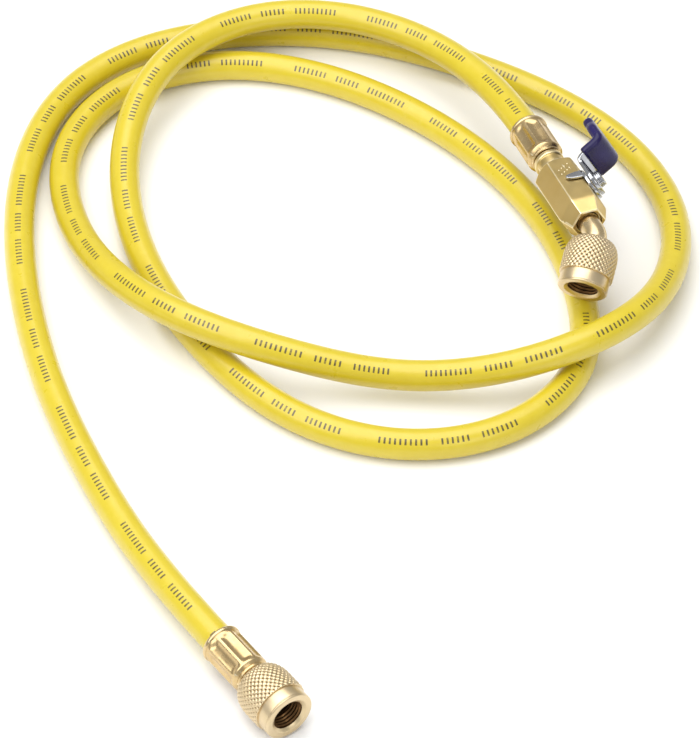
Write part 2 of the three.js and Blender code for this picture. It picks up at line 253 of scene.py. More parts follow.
def piece(name, parts, place, body, node, look, sharp):
    """One object from one or more closed skins, standing for a node of the frame."""
    verts, faces, start = [], [], 0
    for points, polygons in parts:
        verts.append(points)
        faces += [[n + start for n in polygon] for polygon in polygons]
        start += len(points)
    turn = np.array(place.to_3x3())
    world = (np.concatenate(verts) @ turn.T + np.array(place.translation)) * mm
    mesh = bpy.data.meshes.new(name)
    mesh.from_pydata(world.tolist(), [], faces)
    mesh.update()
    work = bmesh.new()
    work.from_mesh(mesh)
    bmesh.ops.recalc_face_normals(work, faces=work.faces)
    work.to_mesh(mesh)
    work.free()
    mesh.shade_smooth()
    mesh.set_sharp_from_angle(angle=math.radians(sharp))
    obj = bpy.data.objects.new(name, mesh)
    bpy.context.collection.objects.link(obj)
    mesh.materials.append(look)
    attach(obj, body)
    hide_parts(node)
    return obj


def ring(radius, y, angles):
    radius = np.broadcast_to(radius, angles.shape)
    y = np.broadcast_to(y, angles.shape)
    return np.stack([radius * np.cos(angles), y, radius * np.sin(angles)], -1)


def circle(sides):
    return np.arange(sides) * 2 * math.pi / sides


def rounded(corners, steps=5):
    """Closed outline through (x, y, radius) corners, each eased by its radius."""
    points = []
    for n, (x, y, radius) in enumerate(corners):
        p = np.array((x, y), dtype=float)
        before = np.array(corners[n - 1][:2]) - p
        after = np.array(corners[(n + 1) % len(corners)][:2]) - p
        far_before, far_after = np.linalg.norm(before), np.linalg.norm(after)
        run = min(radius, 0.48 * far_before, 0.48 * far_after)
        if run < 0.02:
            points.append(p)
            continue
        a, b = p + before / far_before * run, p + after / far_after * run
        for t in np.linspace(0, 1, steps):
            points.append((1 - t) ** 2 * a + 2 * t * (1 - t) * p + t ** 2 * b)
    return points


def lathe(corners, sides=96):
    """Turned shape with a bore, from (radius, y, edge radius) corners."""
    angles = circle(sides)
    return skin([ring(r, y, angles) for r, y in rounded(corners)], loop=True)


def spin(profile, sides=96):
    """Turned shape closed at both ends near the axis, from (radius, y) points."""
    angles = circle(sides)
    return skin([ring(r, y, angles) for r, y in profile])


def ribbon(line, side, half_widths, half_thickness, corner, steps=5):
    """Bent flat bar along a line, with rounded edges. Widths run along the side direction."""
    line = np.asarray(line, dtype=float)
    tangent = np.gradient(line, axis=0)
    tangent /= np.linalg.norm(tangent, axis=1)[:, None]
    side = np.asarray(side, dtype=float)
    rings = []
    for p, t, a, b in zip(line, tangent, half_widths, half_thickness):
        normal = np.cross(side, t)
        c = min(corner, a * 0.98, b * 0.98)
        section = []
        for n, (sx, sy) in enumerate(((1, 1), (-1, 1), (-1, -1), (1, -1))):
            for f in np.linspace(0, 1, steps):
                w = (n + f) * math.pi / 2
                section.append(((a - c) * sx + c * math.cos(w), (b - c) * sy + c * math.sin(w)))
        rings.append([p + side * x + normal * y for x, y in section])
    return skin(rings)


def ease(t):
    t = np.clip(t, 0, 1)
    return t * t * (3 - 2 * t)


def round_off(t):
    """Quarter circle from 0 to 1, for rounded ends."""
    return math.sqrt(max(0.0, 1 - max(0.0, 1 - t) ** 2))


# Materials

class Look:
    """A procedural material under construction, in object space."""

    def __init__(self, name, color, roughness, metallic=0.0):
        self.material = bpy.data.materials.new(name)
        self.material.use_nodes = True
        self.nodes = self.material.node_tree.nodes
        self.links = self.material.node_tree.links
        self.shader = self.nodes["Principled BSDF"]
        self.shader.inputs["Base Color"].default_value = (*color, 1)
        self.shader.inputs["Roughness"].default_value = roughness
        self.shader.inputs["Metallic"].default_value = metallic
        self.place = self.nodes.new("ShaderNodeTexCoord").outputs["Object"]
        self.height = None

    def local(self, matrix, stretch=(1, 1, 1)):
        """Position in a fitting's own frame in mm, stretched along its axes."""
        inverse = matrix.inverted()
        turn = self.nodes.new("ShaderNodeMapping")
        turn.inputs["Scale"].default_value = [1 / mm] * 3
        self.links.new(self.place, turn.inputs["Vector"])
        parts = []
        for row, factor in zip(inverse, stretch):
            dot = self.nodes.new("ShaderNodeVectorMath")
            dot.operation = "DOT_PRODUCT"
            self.links.new(turn.outputs[0], dot.inputs[0])
            dot.inputs[1].default_value = [c * factor for c in row[:3]]
            parts.append(self.math("ADD", dot.outputs["Value"], row[3] * factor))
        join = self.nodes.new("ShaderNodeCombineXYZ")
        for n, part in enumerate(parts):
            self.links.new(part, join.inputs[n])
        return join.outputs[0]

    def math(self, operation, a, b=0.0):
        node = self.nodes.new("ShaderNodeMath")
        node.operation = operation
        for n, value in enumerate((a, b)):
            if isinstance(value, (int, float)):
                node.inputs[n].default_value = value
            else:
                self.links.new(value, node.inputs[n])
        return node.outputs[0]

    def noise(self, scale, detail=3.0, vector=None, roughness=0.55):
        node = self.nodes.new("ShaderNodeTexNoise")
        node.inputs["Scale"].default_value = scale
        node.inputs["Detail"].default_value = detail
        node.inputs["Roughness"].default_value = roughness
        self.links.new(self.place if vector is None else vector, node.inputs["Vector"])
        return node.outputs["Fac"]

    def span(self, value, low, high, to_low, to_high):
        node = self.nodes.new("ShaderNodeMapRange")
        node.inputs["From Min"].default_value = low
        node.inputs["From Max"].default_value = high
        node.inputs["To Min"].default_value = to_low
        node.inputs["To Max"].default_value = to_high
        self.links.new(value, node.inputs["Value"])
        return node.outputs["Result"]

    def mix(self, factor, a, b):
        node = self.nodes.new("ShaderNodeMix")
        node.data_type = "RGBA"
        for socket, value in ((node.inputs["Factor"], factor), (node.inputs["A"], a), (node.inputs["B"], b)):
            if hasattr(value, "links"):
                self.links.new(value, socket)
            elif isinstance(value, tuple):
                socket.default_value = (*value, 1)
            else:
                socket.default_value = value
        return node.outputs["Result"]

    def color(self, output):
        self.links.new(output, self.shader.inputs["Base Color"])

    def roughness(self, output):
        self.links.new(output, self.shader.inputs["Roughness"])

    def bump(self, output, strength, distance):
        node = self.nodes.new("ShaderNodeBump")
        node.inputs["Strength"].default_value = strength
        node.inputs["Distance"].default_value = distance
        self.links.new(output, node.inputs["Height"])
        if self.height is not None:
            self.links.new(self.height, node.inputs["Normal"])
        self.height = node.outputs["Normal"]
        self.links.new(self.height, self.shader.inputs["Normal"])

    def edges(self, low=0.5, high=0.6):
        """How far a point stands out from its surroundings: 1 on sharp edges, where painted highlights go;
        with low above high, 1 in hollows, where painted shade goes.
        """
        geometry = self.nodes.new("ShaderNodeNewGeometry")
        return self.span(geometry.outputs["Pointiness"], low, high, 0, 1)


def brass_look(name, matrix, color=(0.67, 0.53, 0.31), deep=(0.52, 0.37, 0.17), rough=0.27, turned=True):
    """Bright brass, with fine turning marks where it comes from a lathe."""
    look = Look(name, color, rough, 1.0)
    tint = look.mix(look.span(look.noise(90, 4), 0.35, 0.7, 0, 0.5), color, deep)
    tint = look.mix(look.span(look.noise(900, 3), 0.4, 0.7, 0, 0.15), tint, (0.78, 0.66, 0.42))
    # Painted highlight: sharp edges lightened to pale brass
    tint = look.mix(look.edges(0.51, 0.58), tint, (0.88, 0.76, 0.52))
    # Painted shade: hollows and inner corners darkened to brown
    tint = look.mix(look.span(look.edges(0.495, 0.45), 0, 1, 0, 0.8), tint, (0.26, 0.14, 0.05))
    look.color(tint)
    look.roughness(look.span(look.noise(160, 5), 0.3, 0.7, rough - 0.06, rough + 0.1))
    if turned:
        marks = look.noise(2.2, 4, look.local(matrix, (0.05, 3.2, 0.05)), 0.7)
        look.bump(marks, 0.10, 0.0001)
    look.bump(look.noise(700, 4), 0.04, 0.0002)
    return look.material


def knurl_look(name):
    """Knurled brass: pale crests, with painted shade darkening the grooves."""
    color = (0.68, 0.55, 0.35)
    look = Look(name, color, 0.34, 1.0)
    tint = look.mix(look.span(look.noise(120, 4), 0.35, 0.7, 0, 0.4), color, (0.62, 0.48, 0.25))
    # Painted shade: the knurl's grooves darkened
    tint = look.mix(look.edges(0.495, 0.44), tint, (0.20, 0.12, 0.05))
    look.color(tint)
    look.roughness(look.span(look.noise(200, 4), 0.3, 0.7, 0.3, 0.42))
    return look.material


def bore_look(name):
    """Dull brass of the threads inside a nut, painted dark brown for the shade inside it."""
    # Painted shade: the whole bore darkened, with darker patches
    color = (0.20, 0.11, 0.045)
    look = Look(name, color, 0.42, 1.0)
    look.color(look.mix(look.span(look.noise(300, 4), 0.35, 0.7, 0, 0.8), color, (0.07, 0.035, 0.015)))
    look.roughness(look.span(look.noise(420, 4), 0.3, 0.7, 0.32, 0.6))
    look.bump(look.noise(900, 4), 0.2, 0.0002)
    return look.material


def cast_look(name, matrix):
    """Forged brass with fine dents, polished flats and a painted highlight along its edges."""
    color = (0.60, 0.45, 0.19)
    look = Look(name, color, 0.34, 1.0)
    blotch = look.noise(110, 5)
    tint = look.mix(look.span(blotch, 0.35, 0.7, 0, 0.35), color, (0.54, 0.37, 0.12))
    # Painted highlight: the hexagon's edges lightened
    tint = look.mix(look.edges(0.503, 0.525), tint, (0.92, 0.80, 0.52))
    look.color(tint)
    look.roughness(look.span(look.noise(240, 5), 0.3, 0.7, 0.3, 0.42))
    brushed = look.noise(1.4, 4, look.local(matrix, (2.6, 0.10, 2.6)), 0.65)
    look.bump(brushed, 0.08, 0.0001)
    look.bump(look.noise(300, 2), 0.07, 0.0003)
    return look.material


def chrome_look(name):
    """Bright plating, cloudy in places, its darker patches partly a painted dark reflection, with painted
    shade in its corners.
    """
    color = (0.50, 0.51, 0.53)
    look = Look(name, color, 0.12, 1.0)
    # Darker cloudy patches: uneven plating, partly a painted dark reflection
    tint = look.mix(look.span(look.noise(150, 5), 0.35, 0.7, 0, 0.5), color, (0.30, 0.30, 0.32))
    # Painted shade: corners darkened to near black
    look.color(look.mix(look.edges(0.49, 0.45), tint, (0.10, 0.09, 0.09)))
    look.roughness(look.span(look.noise(320, 5), 0.3, 0.75, 0.07, 0.26))
    look.bump(look.noise(220, 2), 0.08, 0.0003)
    return look.material


def vinyl_look(name):
    """Glossy dark blue dipped vinyl with slow waves."""
    color = (0.009, 0.005, 0.05)
    look = Look(name, color, 0.22)
    look.color(look.mix(look.span(look.noise(130, 4), 0.35, 0.7, 0, 0.6), color, (0.022, 0.015, 0.11)))
    look.roughness(look.span(look.noise(220, 5), 0.3, 0.7, 0.2, 0.36))
    look.bump(look.noise(170, 2), 0.22, 0.0006)
    look.bump(look.noise(1500, 3), 0.06, 0.0001)
    look.shader.inputs["Specular IOR Level"].default_value = 0.32
    return look.material


def seal_look(name):
    """Matt black rubber."""
    color = (0.014, 0.013, 0.012)
    look = Look(name, color, 0.55)
    look.color(look.mix(look.span(look.noise(600, 4), 0.35, 0.7, 0, 1), color, (0.03, 0.028, 0.026)))
    look.roughness(look.span(look.noise(400, 4), 0.3, 0.7, 0.42, 0.7))
    look.bump(look.noise(1800, 4), 0.3, 0.0002)
    return look.material


def hose_look(name):
    """Satin yellow rubber cover with fine grain, faint scuffs and a broken line of plain dark marks."""
    color = (0.62, 0.49, 0.018)
    look = Look(name, color, 0.34)
    uv = look.nodes.new("ShaderNodeUVMap")
    uv.uv_map = "length"
    split = look.nodes.new("ShaderNodeSeparateXYZ")
    look.links.new(uv.outputs[0], split.inputs[0])
    run, across = split.outputs[0], split.outputs[1]
    tint = look.mix(look.span(look.noise(22, 4), 0.35, 0.7, 0, 0.5), color, (0.57, 0.43, 0.012))
    tint = look.mix(look.span(look.noise(260, 5), 0.45, 0.75, 0, 0.3), tint, (0.68, 0.56, 0.05))
    scuff = look.span(look.noise(60, 6, None, 0.75), 0.64, 0.76, 0, 0.3)
    tint = look.mix(scuff, tint, (0.72, 0.63, 0.20))
    # Plain marks: short upright bars in three groups, repeated along one side of the hose
    bar = look.math("LESS_THAN", look.math("MODULO", run, mark_step), mark_width)
    height = look.math("LESS_THAN", look.math("ABSOLUTE", across), mark_height / 2)
    place = look.math("MODULO", run, mark_repeat)
    groups = None
    for start, end in mark_groups:
        after = look.math("GREATER_THAN", place, start)
        group = look.math("MULTIPLY", after, look.math("LESS_THAN", place, end))
        groups = group if groups is None else look.math("MAXIMUM", groups, group)
    ink = look.math("MULTIPLY", look.math("MULTIPLY", bar, height), groups)
    ink = look.math("MULTIPLY", ink, look.span(look.noise(900, 4), 0.3, 0.5, 0.6, 0.95))
    look.color(look.mix(ink, tint, (0.05, 0.035, 0.015)))
    look.roughness(look.span(look.noise(180, 5), 0.3, 0.7, 0.26, 0.4))
    # Long faint waves from the braid under the cover, and a fine moulded grain
    look.bump(look.noise(28, 2), 0.08, 0.002)
    look.bump(look.noise(1300, 4), 0.14, 0.0002)
    look.shader.inputs["Subsurface Weight"].default_value = 0.06
    look.shader.inputs["Subsurface Radius"].default_value = (0.003, 0.002, 0.0005)
    look.shader.inputs["Specular IOR Level"].default_value = 0.5
    look.shader.inputs["Coat Weight"].default_value = 0.4
    look.shader.inputs["Coat Roughness"].default_value = 0.3
    return look.material


# Pieces

def smooth_curve(controls, samples):
    """Points of a uniform cubic B-spline."""
    spans = len(controls) - 3
    points = []
    for n in range(samples):
        at = min(n / (samples - 1) * spans, spans - 1e-9)
        i = int(at)
        f = at - i
        weights = ((1 - f) ** 3, 3 * f ** 3 - 6 * f ** 2 + 4, -3 * f ** 3 + 3 * f ** 2 + 3 * f + 1, f ** 3)
        points.append(sum((controls[i + k] * w / 6 for k, w in enumerate(weights)), Vector()))
    return points


def hose_end(lip, axis):
    """Three route points that hold the hose straight where it enters a ferrule."""
    end = lip + axis * ferrule_grip
    return [end + axis * k * hose_straight for k in (1, 0, -1)]


def place_marks(obj, runs):
    """UV layer in mm: the run along the hose, and the way round it from the marked side."""
    layer = obj.data.uv_layers.new(name="length")
    values = np.zeros((len(obj.data.loops), 2))
    half = hose_sides // 2
    step = 2 * math.pi / hose_sides * hose_radius
    for face in obj.data.polygons:
        spots = [divmod(obj.data.loops[n].vertex_index, hose_sides) for n in face.loop_indices]
        # Columns past the far side count backwards, so that no face spans the whole way round
        far = half if max(column for _, column in spots) <= half else half - 1
        for n, (row, column) in zip(face.loop_indices, spots):
            turn = column if column <= far else column - hose_sides
            values[n] = (runs[row], turn * step)
    layer.data.foreach_set("uv", values.ravel())


def make_hose():
    controls = [
        *hose_end(valve_lip, valve_axis),
        *(Vector((x, y, hose_radius + lift)) for x, y, lift in route),
        *reversed(hose_end(plain_place.translation, plain_axis)),
    ]
    path = smooth_curve(controls, hose_rings)
    runs = [0.0]
    rings = []
    for i, p in enumerate(path):
        ahead = (path[min(i + 1, hose_rings - 1)] - path[max(i - 1, 0)]).normalized()
        up = (mark_side - mark_side.dot(ahead) * ahead).normalized()
        side = ahead.cross(up)
        rings.append([p + hose_radius * (math.cos(a) * up + math.sin(a) * side) for a in circle(hose_sides)])
        if i:
            runs.append(runs[-1] + (p - path[i - 1]).length)
    obj = piece("hose_cover", [skin(rings)], Matrix(), "hose_assembly", "hose",
                hose_look("yellow_rubber"), 60)
    place_marks(obj, runs)
    path = [p * mm for p in path]


def ferrule(name, place, node, look):
    """Sleeve with a rolled lip at the back and long crimped flats between narrow ridges."""
    angles = circle(ferrule_flats * 28)
    flat = math.pi / ferrule_flats
    off = (angles + flat) % (2 * flat) - flat
    half = math.acos(ferrule_apothem / ferrule_radius)
    dish = ferrule_apothem / np.cos(off) - ferrule_hollow * (1 - (off / half) ** 2)
    dish = np.where(np.abs(off) < half, dish, ferrule_radius)
    # Rolled lip
    rings = []
    lip_middle = ferrule_radius + ferrule_lip - lip_round
    meets = math.acos((ferrule_radius - lip_middle) / lip_round)
    for t in np.linspace(-math.pi / 2, meets, 10):
        rings.append(ring(lip_middle + lip_round * math.cos(t), lip_length / 2 * (1 + math.sin(t)), angles))
    # Crimped flats, fading out at both ends
    start, end = lip_length, ferrule_length - ferrule_head
    for y in np.linspace(start, end, 46):
        depth = ease((y - start) / 2.6) * ease((end + 0.4 - y) / 2.2)
        rings.append(ring(ferrule_radius + (dish - ferrule_radius) * depth, y, angles))
    # Shoulder, taper and thin ring at the front, then the bore
    wall = ferrule_length - ferrule_wall
    profile = [(ferrule_radius, end + 0.3, 0), (ferrule_radius, end + 0.9, 0.5), (6.25, end + 2.0, 0.4),
               (ferrule_neck, end + 2.1, 0.1), (ferrule_neck, ferrule_length - 0.35, 0.15),
               (ferrule_front, ferrule_length, 0.2), (nut_hole, ferrule_length, 0.1), (nut_hole, wall, 0),
               (ferrule_bore, wall, 0), (ferrule_bore, 0.5, 0.2)]
    rings += [ring(r, y, angles) for r, y in rounded(profile, 4)]
    piece(name, [skin(rings, loop=True)], place, "hose_assembly", node, look, 40)


def grip_profile(step):
    """Even steps down a nut's domed grip: radius, height, distance run and direction of each."""
    t = np.linspace(0, math.pi / 2, 400)
    radii = np.append(nut_back_radius + (nut_grip_radius - nut_back_radius) * np.sin(t), nut_grip_radius)
    heights = np.append(nut_dome * (1 - np.cos(t)), nut_length - nut_collar - collar_step)
    run = np.append(0, np.cumsum(np.hypot(np.diff(radii), np.diff(heights))))
    steps = np.append(np.arange(0, run[-1], step), run[-1])
    r, y = np.interp(steps, run, radii), np.interp(steps, run, heights)
    way = np.stack([np.gradient(r, steps), np.gradient(y, steps)], -1)
    way /= np.linalg.norm(way, axis=1)[:, None]
    return zip(r, y, steps, way)


def knurl_rings(angles):
    """Diamond knurling: lands between two families of crossing grooves, deepest where they cross."""
    cells = angles * knurl_starts / (2 * math.pi)
    rings = []
    for radius, height, s, (dr, dy) in grip_profile(knurl_pitch / knurl_steps):
        u = np.abs((cells + s / knurl_pitch) % 1 - 0.5) * 2
        v = np.abs((cells - s / knurl_pitch) % 1 - 0.5) * 2
        groove_u = np.clip((u - knurl_land) / (1 - knurl_land), 0, 1)
        groove_v = np.clip((v - knurl_land) / (1 - knurl_land), 0, 1)
        cut = 0.4 * np.maximum(groove_u, groove_v) + 0.9 * groove_u * groove_v
        depth = knurl_depth * cut * ease(s / 1.2) * min(1, radius / nut_grip_radius + 0.08)
        rings.append(ring(radius - depth * dy, height + depth * dr, angles))
    return rings


def thread_rings(angles, top, bottom):
    """Right-hand thread down a nut's bore, fading out at both ends."""
    rings = []
    for height in np.arange(top, bottom, -thread_pitch / 8):
        turn = np.abs((height / thread_pitch + angles / (2 * math.pi)) % 1 - 0.5) * 2
        fade = ease((top - height) / 0.8) * ease((height - bottom) / 0.8)
        crest = (nut_bore - thread_crest) * np.clip(turn * 1.25 - 0.1, 0, 1) * fade
        rings.append(ring(nut_bore - crest, height, angles))
    return rings


def nut(name, place, start, body, node, look, bore):
    """Swivel nut: knurled domed grip, smooth collar, chamfered mouth and threaded bore."""
    angles = circle(knurl_starts * knurl_steps)
    collar, end = nut_length - nut_collar, nut_length
    rings = [ring(nut_hole, 0.2, angles), ring(nut_hole + 0.2, 0, angles),
             ring(nut_back_radius - 0.35, 0, angles)]
    rings += knurl_rings(angles)
    last = np.hypot(rings[-1][:, 0], rings[-1][:, 2])
    rings.append(ring(np.minimum(last, nut_grip_radius - collar_step), collar, angles))
    # Collar with a shallow turned groove near its end, then the mouth
    groove = nut_radius - 0.14
    tail = [(nut_radius, collar, 0.08), (nut_radius, end - 1.05, 0.1), (groove, end - 0.9, 0.1),
            (groove, end - 0.75, 0.05), (nut_radius, end - 0.6, 0.1), (nut_radius, end - 0.35, 0.3),
            (nut_radius - 0.35, end, 0.3), (nut_mouth + 0.15, end, 0.2), (nut_bore + 0.1, end - 0.95, 0.1)]
    rings += [ring(r, y, angles) for r, y in rounded(tail, 4)]
    inside = len(rings) - 2
    # Thread down to the gasket, then the plain bore to the back wall
    bottom = nut_back_wall + gap + seat_length + gap + gasket_length + 0.4
    rings += thread_rings(angles, end - 1.0, bottom)
    for r, y in ((nut_bore, bottom - 0.2), (nut_bore, nut_back_wall), (nut_hole, nut_back_wall)):
        rings.append(ring(r, y, angles))
    place = place @ Matrix.Translation((0, start, 0))
    shell = piece(name, [skin(rings, loop=True)], place, body, node, look, 50)
    shell.data.materials.append(bore)
    rows = np.arange(len(shell.data.polygons)) // len(angles)
    shell.data.polygons.foreach_set("material_index", (rows >= inside).astype(np.int32))


def hexagon_radius(angles, apothem, limit=None):
    """Radius of a hexagon with softly rounded edges, trimmed by a round limit."""
    p = edge_sharpness
    total = np.zeros_like(angles)
    for k in range(6):
        face = np.cos(angles - math.radians(30 + 60 * k))
        total += np.clip(face, 0, None) ** p
    total = total ** (1 / p) / apothem
    if limit is not None:
        total = (total ** p + (1 / limit) ** p) ** (1 / p)
    return 1 / total


def hexagon_angles(per_face=36):
    """Angles round a hexagon, closer together near its corners."""
    t = np.linspace(-1, 1, per_face, endpoint=False)
    face = np.sin(t * math.pi / 2) * math.radians(30)
    face = 0.6 * face + 0.4 * t * math.radians(30)
    return np.concatenate([face + math.radians(30 + 60 * k) for k in range(6)])


def raised_dot(x, y, level):
    """Small dome on the valve body's top face."""
    around = circle(12)
    dome = []
    for f in np.linspace(0, math.pi / 2 * 0.92, 5):
        radius = dot_radius * math.cos(f)
        height = np.full(12, level + dot_height * math.sin(f))
        dome.append(np.stack([x + radius * np.cos(around), y + radius * np.sin(around), height], -1))
    return skin(dome)


def valve_body(look):
    """Hexagonal body: ringed collar, six facets leaning in to the nose, bore and round cavity."""
    angles = hexagon_angles()
    apothem = hex_flats / 2
    shoulder = collar_length + hex_length
    start = ferrule_grip - ferrule_length
    waist = collar_radius - 0.6
    back = [(stem_bore, start, 0), (stem_radius, start, 0.2), (stem_radius, 0.3, 0.1), (waist, 0.3, 0.2),
            (collar_radius, 0.75, 0.3), (collar_radius, 2.3, 0.3), (waist, 2.9, 0.25), (waist, 6.6, 0.3)]
    rings = [ring(r, y, angles) for r, y in rounded(back)[:-2]]
    # Rounded start of the hexagon, cut by a cone
    for y in np.arange(6.7, collar_length + 4.2, 0.14):
        cone = waist + max(0, y - 7.0) * 1.05 + 0.12 * max(0, y - 7.0) ** 0.5
        rings.append(ring(hexagon_radius(angles, apothem, cone), y, angles))
    for y in np.arange(collar_length + 4.3, shoulder - 0.9, 1.6):
        rings.append(ring(hexagon_radius(angles, apothem), y, angles))
    # Six flat facets that lean in to the nose, past a softly rounded shoulder
    slope = (hex_flats - nose_flats) / 2 / nose_length
    soft = 0.45
    for y in np.arange(shoulder - 0.8, body_length - 0.35, 0.2):
        lean_in = soft * math.log1p(math.exp((y - shoulder) / soft))
        rings.append(ring(hexagon_radius(angles, apothem - slope * lean_in), y, angles))
    tip = hexagon_radius(angles, nose_flats / 2)
    for inward, y in ((0.02, -0.2), (0.12, -0.07), (0.3, 0)):
        rings.append(ring(tip - inward, body_length + y, angles))
    # Stepped hole for the outlet
    hole, end = outlet_radius + gap + 0.1, body_length
    step = [(5.45, end, 0.1), (5.2, end - 0.25, 0.1), (5.1, end - 1.4, 0.1), (hole, end - 1.5, 0),
            (hole, end - 4.3, 0), (stem_bore, end - 4.3, 0)]
    rings += [ring(r, y, angles) for r, y in rounded(step, 3)]
    # Round cavity for the ball, half way down the bore
    cavity = ball_radius + gap
    reach = math.asin(stem_bore / cavity)
    middle = collar_length + ball_from_collar
    for turn in np.linspace(reach, math.pi - reach, 25):
        rings.append(ring(cavity * math.sin(turn), middle + cavity * math.cos(turn), angles))
    # Raised dots in place of the marks that a forging carries, sunk a little into the face
    dots = [raised_dot(x, y, apothem - 0.14) for x, y in raised_dots]
    piece("valve_body_hexagon", [skin(rings, loop=True), *dots], valve_place, "hose_assembly", "valve_body",
          look, 30)


def lever_line():
    """Middle line of the lever as (towards the hose, height) points."""
    top = lever_bend + lever_run
    pull = lever_run * 0.8
    t = np.linspace(0, 1, 28)[:, None]
    a, b = np.array((lever_bend, 0.0)), np.array((lever_bend + pull, 0.0))
    c, d = np.array((top - pull, lever_rise)), np.array((top, lever_rise))
    bent = (1 - t) ** 3 * a + 3 * (1 - t) ** 2 * t * b + 3 * (1 - t) * t ** 2 * c + t ** 3 * d
    hub = np.linspace((-lever_hub_length / 2 + 0.02, 0), a, 26)[:-1]
    reach = np.linspace(d, (lever_end, lever_rise), 34)[1:]
    return np.concatenate([hub, bent, reach])


def spindle_points(line, height):
    """Points of the lever's middle line in the spindle's frame."""
    return np.stack([np.zeros(len(line)), line[:, 1] + height, line[:, 0]], -1)


def lever_half_width(z, height):
    """Half width of the lever: round hub, full riser, narrowing tip with a round end."""
    hub, full, tip = lever_hub_width / 2, lever_width / 2, lever_tip_width / 2
    if height <= 0.02 and z < lever_bend:
        along_hub = z / (lever_hub_length / 2) + 1
        return hub * round_off(along_hub) + 0.05 if along_hub < 1 else hub
    width = hub + (full - hub) * float(ease((z - lever_bend + 0.1) / 1.6 + height / 3))
    width += (tip - full) * float(ease((z - (lever_end - lever_tip_taper)) / lever_tip_taper))
    left = lever_end - z
    if left < lever_tip_round:
        width *= round_off(left / lever_tip_round) + 0.02
    return width


def lever(look):
    line = lever_line()
    widths = [lever_half_width(z, h) for z, h in line]
    thick = [lever_thickness / 2] * len(line)
    strip = ribbon(spindle_points(line, lever_middle), (1.0, 0.0, 0.0), widths, thick, 0.4)
    piece("lever_strip", [strip], spindle_place, "valve_handle", "handle_lever", look, 50)


def grip(look):
    """Dipped sleeve over the riser and the flat part of the lever, fuller towards its tip."""
    line = lever_line()
    covered = line[next(n for n, (z, h) in enumerate(line) if h > grip_start):]
    wall = gap + grip_wall
    past = np.linspace(0.1, wall, 6)[:, None] * np.array((1.0, 0.0))
    covered = np.concatenate([covered, covered[-1] + past])
    run = np.append(0, np.cumsum(np.linalg.norm(np.diff(covered, axis=0), axis=1)))
    widths, thick = [], []
    for (z, h), s in zip(covered, run):
        left = run[-1] - s
        rim = grip_rim * (1 - round_off(s / 0.5))
        width = lever_half_width(min(z, lever_end - lever_tip_round - 0.1), h) + wall
        width += 0.5 * math.sin(math.pi * float(np.clip(1 - left / (lever_tip_taper + wall), 0, 1)))
        if left < grip_tip_round:
            width *= (1 - (1 - left / grip_tip_round) ** 2.6) ** (1 / 2.6) * 0.98 + 0.02
        widths.append(width - rim)
        thick.append((lever_thickness / 2 + wall - 0.1 - rim) * (round_off(left / 1.3) * 0.97 + 0.03))
    sleeve = ribbon(spindle_points(covered, lever_middle), (1.0, 0.0, 0.0), widths, thick, 1.9, 8)
    piece("grip_sleeve", [sleeve], spindle_place, "valve_handle", "handle_grip", look, 60)


def screw(look):
    """Head of the lever's screw: a thin washer under two turned collars with an eased top."""
    low = lever_base + lever_thickness + gap
    r = screw_radius
    head = [(screw_hole, low, 0), (r, low, 0.12), (r, low + 0.55, 0.12), (r - 0.35, low + 0.6, 0.03),
            (r - 0.35, low + 0.72, 0.03), (r - 0.05, low + 0.78, 0.08), (r - 0.05, low + 1.2, 0.08),
            (r - 0.4, low + 1.26, 0.03), (r - 0.4, low + 1.38, 0.03), (r - 0.1, low + 1.44, 0.08),
            (r - 0.1, low + 1.8, 0.1), (r - 0.7, low + screw_height - 0.1, 0.4),
            (screw_hole, low + screw_height, 0)]
    piece("lever_screw", [lathe(head, 72)], spindle_place, "valve_handle", "handle_screw",
          look, 40)


def stop_plate(look):
    """Round plate with a finger bent down along the neighbouring face of the hexagon."""
    top = packing_base + packing_height
    plate = lathe([(stop_hole, packing_base, 0), (stop_radius, packing_base, 0.15), (stop_radius, top, 0.15),
                   (stop_hole, top, 0)])
    middle = packing_base + packing_height / 2
    corner = np.array((middle * math.tan(math.radians(30)), middle))
    down = np.array((math.sin(math.radians(30)), -math.cos(math.radians(30))))
    before, after = corner - (stop_ear_bend, 0), corner + stop_ear_bend * down
    entry = np.linspace((stop_ear_root, middle), before, 6)
    t = np.linspace(0, 1, 10)[:, None]
    turn = (1 - t) ** 2 * before + 2 * t * (1 - t) * corner + t ** 2 * after
    tail = np.linspace(after, corner + stop_ear * down, 24)[1:]
    flat = np.concatenate([entry[:-1], turn, tail])
    finger = np.stack([flat[:, 0], flat[:, 1], np.full(len(flat), stop_ear_offset)], -1)
    reach = np.linspace(0, 1, len(flat))
    widths = [stop_ear_half * math.sqrt(max(0.0, 1 - max(0.0, (s - 0.25) / 0.752) ** 2.6)) + 0.05
              for s in reach]
    thick = [packing_height / 2 - 0.02] * len(flat)
    ear = ribbon(finger, (0.0, 0.0, 1.0), widths, thick, 0.3)
    piece("stop_plate_disc", [plate, ear], spindle_place, "hose_assembly", "stop_plate",
          look, 50)


def seat_stem(back, edge, start):
    """Bored stem that ends in a flared seat."""
    end = start + seat_length
    return lathe([(stem_bore, back, 0), (stem_radius, back, edge), (stem_radius, start, 0.1),
                  (seat_radius, start, 0.2), (seat_radius, end - 1.2, 0.2), (seat_tip_radius, end, 0.2),
                  (stem_bore, end, 0.1)], 64)


